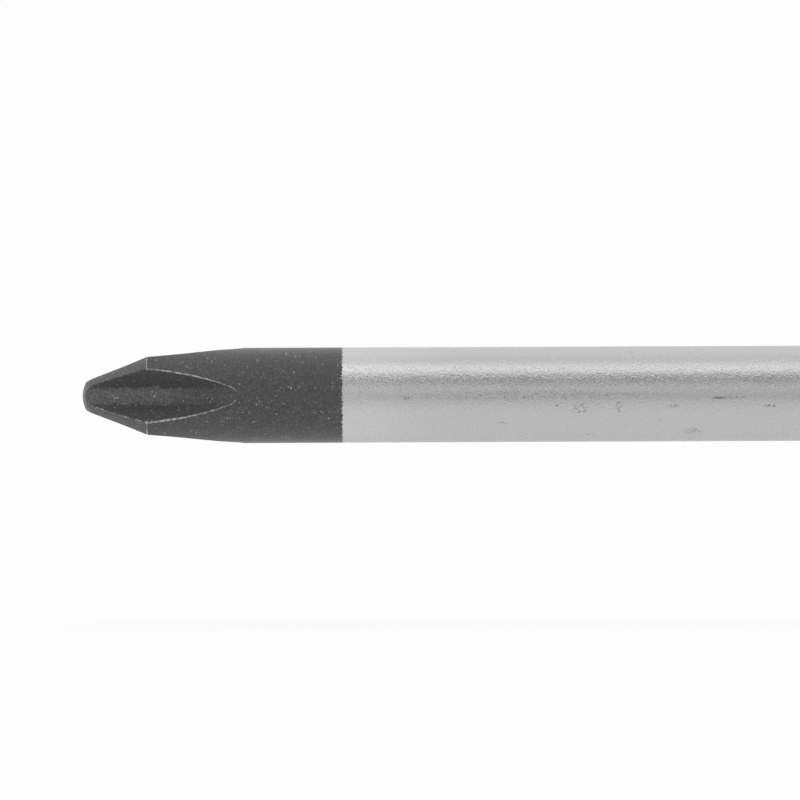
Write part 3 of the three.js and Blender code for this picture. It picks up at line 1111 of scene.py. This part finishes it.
    def slide(self, x: float, side: float, rim: float) -> float:
        """Spreads the even steps of a ring over floor, flank and wing.

        Args:
            x: Distance from the tip.
            side: The point's even angle from the middle of the flute.
            rim: Angle of the flute's rim here.

        Returns:
            The new angle.
        """
        step = side / (QUARTER / 2) * self.half_steps
        floor_edge = math.atan2(self.flute.floor_half, self.flute.floor(x))
        floor = min(floor_edge, max(rim * self.floor_share, self.least_floor))
        rim = max(rim, floor + self.least_flank)
        if step <= self.floor_steps:
            return floor * step / self.floor_steps
        step -= self.floor_steps
        if step <= self.flank_steps:
            return rim - (rim - floor) * (1 - step / self.flank_steps) ** 2
        share = (step - self.flank_steps) / self.wing_steps
        return rim + (QUARTER / 2 - rim) * share**2

    def wear(self, x: float, radius: float, side: float, rim: float, front_wear: float) -> float:
        """How bare a point of the tip is: most on the rear rims and on the corners of the wings.

        Args:
            x: Distance from the tip.
            radius: Radius of the bar there.
            side: The point's angle from the middle of the flute.
            rim: Angle of the flute's rim.
            front_wear: How worn the rims along the cone are.

        Returns:
            The wear, 0 where the black is whole and 1 on a bare edge.
        """
        if not self.dome_height < x < self.flute_end - self.worn_setback:
            return 0.0
        from_rim = abs(side - rim) * radius
        from_corner = abs(x - self.cone_end)
        rear = 1.0 if x > self.cone_end - self.worn_reach else front_wear
        on_rim = rear * max(0.0, 1 - from_rim / self.worn_reach)
        on_corner = max(0.0, 1 - from_corner / self.worn_reach) if side > rim else 0.0
        return max(on_rim, self.corner_wear * on_corner)

    def rub_and_shade(self, x: float, radius: float, side: float, rim: float) -> float:
        """How pale the black is: worn by screws on the floors of the flutes, the blunt end and the cone, and
        darkest on the flanks, which is painted shade.

        Args:
            x: Distance from the tip.
            radius: Radius of the point.
            side: Its angle from the middle of the flute.
            rim: Angle of the flute's rim.

        Returns:
            The paleness, from 0 to 1.
        """
        if x < self.dome_height:
            return self.dome_rub
        if side > rim:
            return self.cone_rub if x < self.cone_end else self.open_rub
        # On a floor the black is paler towards the middle and towards the tip; the flanks beyond get 0, the
        # darkest black, which is painted shade.
        across = radius * math.sin(side) / self.flute.floor_half
        along = min(1.0, max(self.open_rub, (self.floor_rub_end - x) / self.floor_rub_fade))
        return along * (1 - self.floor_side_drop * across**2) if across < 1 else 0.0

    def swage(self, vert: bmesh.types.BMVert, tang_end: float) -> None:
        """Presses one point of the tang out into an ear where it lies in one.

        Args:
            vert: The point.
            tang_end: The end of the tang.
        """
        for number in range(2):
            middle = tang_end - self.ear_setback - number * self.ear_pitch
            from_middle = abs(vert.co.x - middle)
            if from_middle > self.ear_half_length:
                continue
            angle = math.atan2(vert.co.y, vert.co.z) + number * QUARTER
            ramp = min(1.0, (self.ear_half_length - from_middle) / self.ear_lead)
            across = self.ear_half_span * ramp / max(abs(math.sin(angle)), WELD)
            through = self.ear_half_thickness / max(abs(math.cos(angle)), WELD)
            radius = math.hypot(vert.co.y, vert.co.z)
            scale = max(radius, min(across, through)) / radius
            vert.co.y *= scale
            vert.co.z *= scale

    def dress(self, effects: Effects) -> None:
        """Builds the blade and gives it its finish."""
        stand_for(self.build(), "blade", self.finish.material(effects, self.axis))


@dataclass
class HandleSizes:
    """Sizes that several pieces of the handle share, in millimetres."""

    flats: Flats
    corner_radius: float = 16.2
    barrel_rise: float = 0.4
    waist_front: float = 11.8
    waist_rear: float = 12.5
    waist_least: float = 10.8
    gap: float = 0.2
    sides: int = 240

    def waist_control(self) -> float:
        """The pull of the waist's curve, which brings its middle to the least radius."""
        return 2 * self.waist_least - (self.waist_front + self.waist_rear) / 2

    def waist(self, share: float) -> float:
        """Radius over the finger grip, from 0 at its front to 1 at its rear."""
        front, rear, pull = self.waist_front, self.waist_rear, self.waist_control()
        return front * (1 - share) ** 2 + 2 * pull * share * (1 - share) + rear * share**2


@dataclass
class PalmPads:
    """The soft inlays, one on each flat of the handle, in millimetres."""

    axis: ToolAxis
    sizes: HandleSizes
    thickness: float = 2.2
    edge: float = 0.45
    rim: float = 1.1
    groove_depth: float = 0.55
    groove_width: float = 1.3
    groove_pitch: float = 2.6
    groove_cuts: int = 8
    pocket_overcut: float = 3.0
    sharp_degrees: float = 50.0
    end_segments: int = 24

    def outline(self, grow: float) -> tuple[bmesh.types.BMesh, float, float]:
        """Draws the flat outline of a pad, a slot with round ends, on the floor of its pocket.

        Args:
            grow: Extra size all round.

        Returns:
            The mesh with one face, half the length of the straight part, and the middle along the tool.
        """
        start, end = self.axis.span("palm_pad_1")
        low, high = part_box("palm_pad_1")
        half_width = (high[1] - low[1]) / 2 / MM
        reach = (end - start) / 2 - half_width
        bm = bmesh.new()
        bmesh.ops.create_circle(bm, cap_ends=True, segments=2 * self.end_segments, radius=half_width + grow)
        for vert in bm.verts:
            vert.co.x += math.copysign(reach, vert.co.x) if abs(vert.co.x) > WELD else 0.0
        bmesh.ops.recalc_face_normals(bm, faces=bm.faces[:])
        return bm, reach, (start + end) / 2

    def pocket(self, number: int) -> bpy.types.Object:
        """Makes a cutter for one pocket of the body, a joint line larger than its pad.

        Args:
            number: Which pad, from 1.

        Returns:
            The cutter.
        """
        bm, _, middle = self.outline(self.sizes.gap)
        floor = self.sizes.flats.across / 2 - self.thickness - self.sizes.gap
        self.raise_face(bm, self.thickness + self.pocket_overcut)
        bmesh.ops.translate(bm, vec=(middle, 0, floor), verts=bm.verts[:])
        self.turn(bm, number)
        return self.axis.place(bm, f"pocket_{number}")

    @staticmethod
    def raise_face(bm: bmesh.types.BMesh, height: float) -> bmesh.types.BMFace:
        """Makes a closed block of a flat outline.

        Args:
            bm: A mesh with one face. It becomes the block's floor.
            height: The block's height.

        Returns:
            The top face.
        """
        made = bmesh.ops.extrude_face_region(bm, geom=bm.faces[:], use_keep_orig=True)["geom"]
        lifted = [item for item in made if isinstance(item, bmesh.types.BMVert)]
        bmesh.ops.translate(bm, vec=(0, 0, height), verts=lifted)
        bmesh.ops.recalc_face_normals(bm, faces=bm.faces[:])
        return next(item for item in made if isinstance(item, bmesh.types.BMFace))

    def turn(self, bm: bmesh.types.BMesh, number: int) -> None:
        """Rolls a piece from the upper flat to the flat of a numbered pad."""
        angle = 2 * math.pi * (number - 1) / self.sizes.flats.count
        bmesh.ops.rotate(bm, cent=(0, 0, 0), matrix=Matrix.Rotation(angle, 3, "X"), verts=bm.verts[:])

    def build(self, number: int) -> bpy.types.Object:
        """Makes one pad, with rounded edges and scalloped grooves inside a plain rim.

        Args:
            number: Which pad, from 1.

        Returns:
            The object.
        """
        bm, reach, middle = self.outline(0.0)
        top = self.raise_face(bm, self.thickness)
        bmesh.ops.bevel(
            bm, geom=list(top.edges), offset=self.edge, segments=4, profile=0.5, affect="EDGES", material=-1
        )
        crown = max(bm.faces, key=lambda face: face.calc_center_median().z)
        bmesh.ops.inset_individual(bm, faces=[crown], thickness=self.rim)
        self.groove(bm, reach, set(crown.verts))
        floor = self.sizes.flats.across / 2 - self.thickness
        bmesh.ops.translate(bm, vec=(middle, 0, floor), verts=bm.verts[:])
        self.turn(bm, number)
        return self.axis.place(bm, f"palm_inlay_{number}", sharp=self.sharp_degrees)

    def groove(self, bm: bmesh.types.BMesh, reach: float, field_verts: set[bmesh.types.BMVert]) -> None:
        """Cuts the top of a pad into strips and sinks them into grooves.

        Args:
            bm: The pad.
            reach: Half the length of the straight part.
            field_verts: The points round the field that takes the grooves.
        """
        count = max(1, int(2 * reach // self.groove_pitch))
        inner = max(abs(vert.co.y) for vert in field_verts)
        middles = [(i - (count - 1) / 2) * self.groove_pitch for i in range(count)]
        for middle in middles:
            for cut in range(self.groove_cuts + 1):
                place = Vector((middle + (cut / self.groove_cuts - 0.5) * self.groove_width, 0, 0))
                geometry = [*bm.verts, *bm.edges, *bm.faces]
                bmesh.ops.bisect_plane(bm, geom=geometry, dist=WELD, plane_co=place, plane_no=(1, 0, 0))
        level = max(vert.co.z for vert in bm.verts)
        for vert in bm.verts:
            on_field = vert.co.z > level - WELD and abs(vert.co.y) <= inner + WELD
            nearest = min(abs(vert.co.x - middle) for middle in middles)
            if on_field and nearest < self.groove_width / 2:
                vert.co.z -= self.groove_depth * math.cos(math.pi * nearest / self.groove_width) ** 2

    def dress(self, material: bpy.types.Material) -> None:
        """Builds every pad and gives it its finish."""
        for number in range(1, self.sizes.flats.count + 1):
            stand_for(self.build(number), f"palm_pad_{number}", material)


@dataclass
class HandleBody:
    """The hard body: nose, flange, seat of the finger grip and hexagonal belly, in millimetres."""

    axis: ToolAxis
    sizes: HandleSizes
    pads: PalmPads
    nose_radius: float = 6.5
    nose_round: float = 1.6
    nose_length: float = 9.0
    flange_length: float = 3.5
    shoulder_length: float = 11.0
    shoulder_rise: float = 1.7
    bore_radius: float = 3.2
    core_radius: float = 9.3
    socket_radius: float = 10.35
    socket_depth: float = 6.2
    seat_radius: float = 7.8
    joint_chamfer: float = 0.5
    chamfer_round: float = 0.15
    joint_round: float = 0.2
    flange_front_round: float = 0.5
    flange_rear_round: float = 0.9

    def profile(self) -> Profile:
        """Draws the section of the body, a ring round the blade.

        Returns:
            The path, which comes back to its start.
        """
        nose, end = self.axis.span("handle_body")
        grip, shoulder = self.axis.span("finger_grip")
        grip, shoulder = grip - self.sizes.gap, shoulder + self.sizes.gap
        core = self.axis.span("inner_core")[0] - self.sizes.gap
        flange = nose + self.nose_length
        back = flange + self.flange_length
        belly = shoulder + self.shoulder_length
        corner, front, rear = self.sizes.corner_radius, self.sizes.waist_front, self.sizes.waist_rear
        path = Profile(nose, self.bore_radius)
        path.line(nose, self.nose_radius - self.nose_round)
        path.swing((nose, self.nose_radius), (nose + self.nose_round, self.nose_radius))
        sweep = (flange - self.nose_round, self.nose_radius)
        path.swing(sweep, (flange, corner), steps=24, rounding=self.flange_front_round)
        path.line(back, corner, rounding=self.flange_rear_round)
        path.swing(((back + grip) / 2, front), (grip, front), steps=16, rounding=self.joint_round)
        path.line(grip, self.seat_radius).line(shoulder, self.seat_radius)
        path.line(shoulder, rear, rounding=self.joint_round)
        half = (shoulder + belly) / 2
        path.curve((half, rear + self.shoulder_rise), (half, corner), (belly, corner), steps=24)
        swell = ((belly + end) / 2, corner + 2 * self.sizes.barrel_rise)
        path.swing(swell, (end - self.joint_chamfer, corner), steps=48)
        path.line(end, corner - self.joint_chamfer, rounding=self.chamfer_round)
        path.line(end, self.socket_radius, rounding=self.joint_round)
        path.line(end - self.socket_depth, self.socket_radius).line(end - self.socket_depth, self.core_radius)
        path.line(core, self.core_radius).line(core, self.bore_radius)
        return path

    def build(self) -> bpy.types.Object:
        """Spins the body, cuts its flats and sinks its pockets.

        Returns:
            The object.
        """
        bm = turned(self.profile().drawn(), self.sizes.sides, closed=True)
        self.sizes.flats.cut(bm)
        body = self.axis.place(bm, "hard_body")
        cut_with(body, [self.pads.pocket(number) for number in range(1, self.sizes.flats.count + 1)])
        round_edges(body, width=0.15, angle=62.0)
        shade(body)
        return body

    def dress(self, material: bpy.types.Material) -> None:
        """Builds the body and gives it its finish."""
        stand_for(self.build(), "handle_body", material)


@dataclass
class FingerGrip:
    """The soft ring round the waist, with round grooves for the fingers, in millimetres."""

    axis: ToolAxis
    sizes: HandleSizes
    seat_radius: float = 8.0
    snug: float = 0.14
    land: float = 2.2
    end_round: float = 0.06
    groove_depth: float = 0.6
    groove_pitch: float = 2.8
    samples: int = 160

    def outer(self, x: float, start: float, length: float) -> float:
        """Outer radius of the ring.

        Args:
            x: Distance from the tip.
            start: Where the waist starts.
            length: How long the waist is.

        Returns:
            The radius, with the grooves.
        """
        grooved = length - 2 * self.land
        count = max(1, round(grooved / self.groove_pitch))
        pitch = grooved / count
        along = x - start - self.land
        radius = self.sizes.waist((x - start) / length)
        if not 0 < along < grooved:
            return radius
        from_groove = abs(along % pitch - pitch / 2)
        half_groove = self.groove_pitch / 4
        sunk = math.cos(QUARTER * from_groove / half_groove) ** 2 if from_groove < half_groove else 0.0
        return radius - self.groove_depth * sunk

    def build(self) -> bpy.types.Object:
        """Spins the ring, which is pressed into the joint lines at its ends.

        Returns:
            The object.
        """
        start, end = self.axis.span("finger_grip")
        front = start - self.sizes.gap
        length = end - start + 2 * self.sizes.gap
        start, end = start - self.snug, end + self.snug
        path = Profile(end, self.seat_radius).line(start, self.seat_radius)
        for i in range(self.samples + 1):
            x = start + (end - start) * i / self.samples
            rounding = self.end_round if i in (0, self.samples) else 0.0
            path.line(x, self.outer(x, front, length), rounding)
        return self.axis.place(turned(path.drawn(), self.sizes.sides, closed=True), "finger_ring")

    def dress(self, material: bpy.types.Material) -> None:
        """Builds the ring and gives it its finish."""
        stand_for(self.build(), "finger_grip", material)


@dataclass
class EndCap:
    """The hard cap with its spigot, hanging hole and seat for the marker, in millimetres."""

    axis: ToolAxis
    sizes: HandleSizes
    spigot_radius: float = 10.15
    spigot_length: float = 6.0
    butt_radius: float = 9.0
    butt_round: float = 0.4
    corner_rise: float = 1.7
    joint_chamfer: float = 0.5
    chamfer_round: float = 0.15
    corner_round: float = 0.3
    marker_radius: float = 6.5
    marker_depth: float = 1.8
    hole_radius: float = 3.5
    hole_setback: float = 11.0
    hole_round: float = 1.4
    hole_overcut: float = 1.0
    hole_sides: int = 96

    def build(self) -> bpy.types.Object:
        """Spins the cap, cuts its flats and bores its hole.

        Returns:
            The object.
        """
        start, butt = self.axis.span("end_cap")
        front = start + self.spigot_length + self.sizes.gap
        corner = self.sizes.corner_radius
        quarter = (butt - front + self.sizes.gap) / 4
        path = Profile(start, 0.0).line(start, self.spigot_radius).line(front, self.spigot_radius)
        path.line(front, corner - self.joint_chamfer, rounding=self.chamfer_round)
        path.line(front + self.joint_chamfer, corner, rounding=self.corner_round)
        path.curve(
            (butt - quarter, corner), (butt, corner - self.corner_rise), (butt, self.butt_radius), steps=40
        )
        path.line(butt, self.marker_radius + self.sizes.gap, rounding=self.butt_round)
        path.line(butt - self.marker_depth, self.marker_radius + self.sizes.gap)
        path.line(butt - self.marker_depth, 0.0)
        bm = turned(path.drawn(), self.sizes.sides)
        self.sizes.flats.cut(bm)
        cap = self.axis.place(bm, "rear_cap")
        cut_with(cap, [self.hole(butt - self.hole_setback)])
        return cap

    def hole(self, middle: float) -> bpy.types.Object:
        """A cutter for the hanging hole, with round mouths.

        Args:
            middle: The place of the hole along the tool.

        Returns:
            The cutter.
        """
        face = self.sizes.flats.across / 2
        mouth = self.hole_radius + self.hole_round
        clear = face + self.hole_overcut
        path = Profile(-clear, 0.0).line(-clear, mouth).line(-face, mouth)
        path.swing((-face, self.hole_radius), (-face + self.hole_round, self.hole_radius), steps=8)
        path.line(face - self.hole_round, self.hole_radius)
        path.swing((face, self.hole_radius), (face, mouth), steps=8)
        path.line(clear, mouth).line(clear, 0.0)
        bm = turned(path.drawn(), self.hole_sides)
        bmesh.ops.rotate(bm, cent=(0, 0, 0), matrix=Matrix.Rotation(QUARTER, 3, "Y"), verts=bm.verts[:])
        bmesh.ops.translate(bm, vec=(middle, 0, 0), verts=bm.verts[:])
        return self.axis.place(bm, "hang_hole_cutter")

    def dress(self, material: bpy.types.Material) -> None:
        """Builds the cap and gives it its finish."""
        stand_for(self.build(), "end_cap", material)


@dataclass
class CapMarker:
    """The coloured disc in the butt, with a sunk cross, in millimetres."""

    axis: ToolAxis
    rim_round: float = 0.35
    cross_half_span: float = 4.0
    cross_half_width: float = 0.95
    cross_depth: float = 0.5
    sides: int = 120

    def build(self) -> bpy.types.Object:
        """Spins the disc and sinks the cross.

        Returns:
            The object.
        """
        start, butt = self.axis.span("cap_marker")
        low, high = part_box("cap_marker")
        radius = (high[1] - low[1]) / 2 / MM
        path = Profile(start, 0.0).line(start, radius)
        path.line(butt, radius, rounding=self.rim_round).line(butt, 0.0)
        disc = self.axis.place(turned(path.drawn(), self.sides), "marker_disc")
        cut_with(disc, [self.arm(butt, number) for number in range(2)])
        round_edges(disc, width=0.12, angle=50.0)
        shade(disc)
        return disc

    def arm(self, butt: float, number: int) -> bpy.types.Object:
        """A cutter for one arm of the cross.

        Args:
            butt: The outer face of the disc.
            number: 0 for the arm along Y and 1 for the one along Z.

        Returns:
            The cutter.
        """
        bm = bmesh.new()
        bmesh.ops.create_cube(bm, size=2.0)
        reach = (self.cross_depth, self.cross_half_span, self.cross_half_width)
        bmesh.ops.scale(bm, vec=reach, verts=bm.verts[:])
        turn = Matrix.Rotation(QUARTER * number, 3, "X")
        bmesh.ops.rotate(bm, cent=(0, 0, 0), matrix=turn, verts=bm.verts[:])
        bmesh.ops.translate(bm, vec=(butt, 0, 0), verts=bm.verts[:])
        return self.axis.place(bm, f"cross_arm_{number}")

    def dress(self, material: bpy.types.Material) -> None:
        """Builds the disc and gives it its finish."""
        stand_for(self.build(), "cap_marker", material)


def dress_core(material: bpy.types.Material) -> None:
    """Gives the hidden core, which keeps its CAD shape, its finish.

    Args:
        material: The finish.
    """
    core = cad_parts["inner_core"]
    core.data.materials.clear()
    core.data.materials.append(material)
    log.info("inner_core: kept as it is")


# Camera, floor and light


@dataclass(frozen=True)
class Studio:
    """A white studio with a long lens, level with the blade, as the photograph has it."""

    axis: ToolAxis
    frame_width: float = 50.37
    view_x: float = 19.98
    view_drop: float = 0.3235
    roll: float = math.radians(0.229)
    distance: float = 600.0
    sensor: float = 36.0
    floor_half: float = 40.0
    floor_white: float = 0.9
    floor_roughness: float = 0.9
    floor_specular: float = 0.1
    floor_glow: float = 0.75
    # Painted pool of light: the floor's mirrored glow in front of the tool, and where it dims.
    painted_front_glow: float = 0.615
    front_start: float = -5.0
    front_end: float = -95.0
    tent: tuple[tuple[float, float], ...] = (
        (0, 0.34),
        (5, 0.74),
        (12, 1.00),
        (24, 0.89),
        (31, 0.43),
        (36, 0.19),
        (41, 0.46),
        (50, 1.00),
        (60, 1.30),
        (67, 1.74),
        (74, 1.20),
        (80, 1.02),
        (90, 0.86),
        (102, 1.04),
        (114, 1.10),
        (150, 1.18),
        (178, 0.985),
    )

    def camera(self) -> None:
        """Sets up the camera at the photograph's viewing angle."""
        lens = bpy.data.cameras.new("camera")
        lens.sensor_width = self.sensor
        lens.lens = self.sensor * self.distance / self.frame_width
        lens.clip_start = 0.01
        lens.clip_end = 100.0
        camera = bpy.data.objects.new("camera", lens)
        bpy.context.scene.collection.objects.link(camera)
        spot = self.axis.matrix() @ Vector((self.view_x, -self.distance, -self.view_drop))
        level = Matrix.Rotation(QUARTER, 4, "X") @ Matrix.Rotation(-self.roll, 4, "Z")
        camera.matrix_world = Matrix.Translation(spot) @ level
        bpy.context.scene.camera = camera

    def floor(self) -> None:
        """Lays a pale floor that shows white and keeps the object's shadow, with a painted pool of light in
        the glow that metal mirrors.
        """
        bm = bmesh.new()
        bmesh.ops.create_grid(bm, x_segments=1, y_segments=1, size=self.floor_half)
        mesh = bpy.data.meshes.new("floor")
        bm.to_mesh(mesh)
        bm.free()
        floor = bpy.data.objects.new("floor", mesh)
        bpy.context.scene.collection.objects.link(floor)
        material, graph, shader = new_material("floor_white")
        shader.inputs["Base Color"].default_value = grey(self.floor_white)
        shader.inputs["Roughness"].default_value = self.floor_roughness
        shader.inputs["Specular IOR Level"].default_value = self.floor_specular
        path = graph.node("ShaderNodeLightPath").outputs
        # Painted pool of light: for mirrored rays the floor's glow dims in front of the tool.
        strength = graph.math("MAXIMUM", path["Is Camera Ray"], self.near(graph))
        glow = graph.node("ShaderNodeEmission", {"Color": grey(1.0), "Strength": strength})
        mirrored = graph.math("MAXIMUM", path["Is Glossy Ray"], path["Is Transmission Ray"])
        seen = graph.math("MAXIMUM", path["Is Camera Ray"], mirrored)
        share = graph.math("MULTIPLY", seen, self.floor_glow)
        mixed = graph.node("ShaderNodeMixShader", {0: share, 1: shader.outputs[0], 2: glow.outputs[0]})
        graph.feed(material.node_tree.nodes["Material Output"].inputs["Surface"], mixed.outputs[0])
        mesh.materials.append(material)

    def near(self, graph: Graph) -> Socket:
        """Painted pool of light in the floor's mirrored glow: full at the tool and behind it, and dimmer in
        front of it.
        """
        across = graph.node("ShaderNodeSeparateXYZ", {0: graph.millimetres()}).outputs[1]
        return graph.blend(graph.ease(across, self.front_end, self.front_start), self.painted_front_glow, 1.0)

    def light(self) -> None:
        """Lights the tool from a soft white tent whose brightness changes with height."""
        world = bpy.data.worlds.new("tent")
        bpy.context.scene.world = world
        world.use_nodes = True
        graph = Graph(world.node_tree)
        background = world.node_tree.nodes["Background"]
        away = graph.node("ShaderNodeTexCoord").outputs["Generated"]
        parts = graph.node("ShaderNodeSeparateXYZ", {0: away}).outputs
        rise = graph.math("ABSOLUTE", graph.math("ARCTAN2", parts[2], graph.math("MULTIPLY", parts[1], -1.0)))
        ramp = graph.node("ShaderNodeValToRGB", {0: graph.math("DIVIDE", rise, math.pi)})
        stops = ramp.color_ramp.elements
        while len(stops) < len(self.tent):
            stops.new(0.5)
        for stop, (angle, level) in zip(stops, self.tent):
            stop.position = angle / 180
            stop.color = grey(level)
        graph.feed(background.inputs["Color"], ramp.outputs[0])

    def build(self) -> None:
        """Sets up camera, floor and light."""
        scene = bpy.context.scene
        scene.view_settings.view_transform = "Standard"
        self.camera()
        self.floor()
        self.light()
        log.info("studio: camera, floor and tent")


def main() -> None:
    """Builds the tool piece by piece, and the studio round it."""
    logging.basicConfig(level=logging.INFO, format="%(name)s %(message)s")
    axis = ToolAxis.from_frame()
    low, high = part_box("handle_body")
    sizes = HandleSizes(Flats(across=(high[2] - low[2]) / MM))
    effects = Effects()
    hard = Moulding("hard_black", (0.012, 0.0125, 0.0135)).material(effects)
    soft = Moulding.soft_grip().material(effects)
    marker = Moulding("marker_red", (0.34, 0.015, 0.018)).material(effects)
    natural = Moulding("natural_core", (0.70, 0.67, 0.60), roughness=0.5).material(effects)
    pads = PalmPads(axis, sizes)
    Blade(axis, BladeFinish()).dress(effects)
    HandleBody(axis, sizes, pads).dress(hard)
    FingerGrip(axis, sizes).dress(soft)
    pads.dress(soft)
    EndCap(axis, sizes).dress(hard)
    CapMarker(axis).dress(marker)
    dress_core(natural)
    Studio(axis).build()


if __name__ == "__main__":
    main()
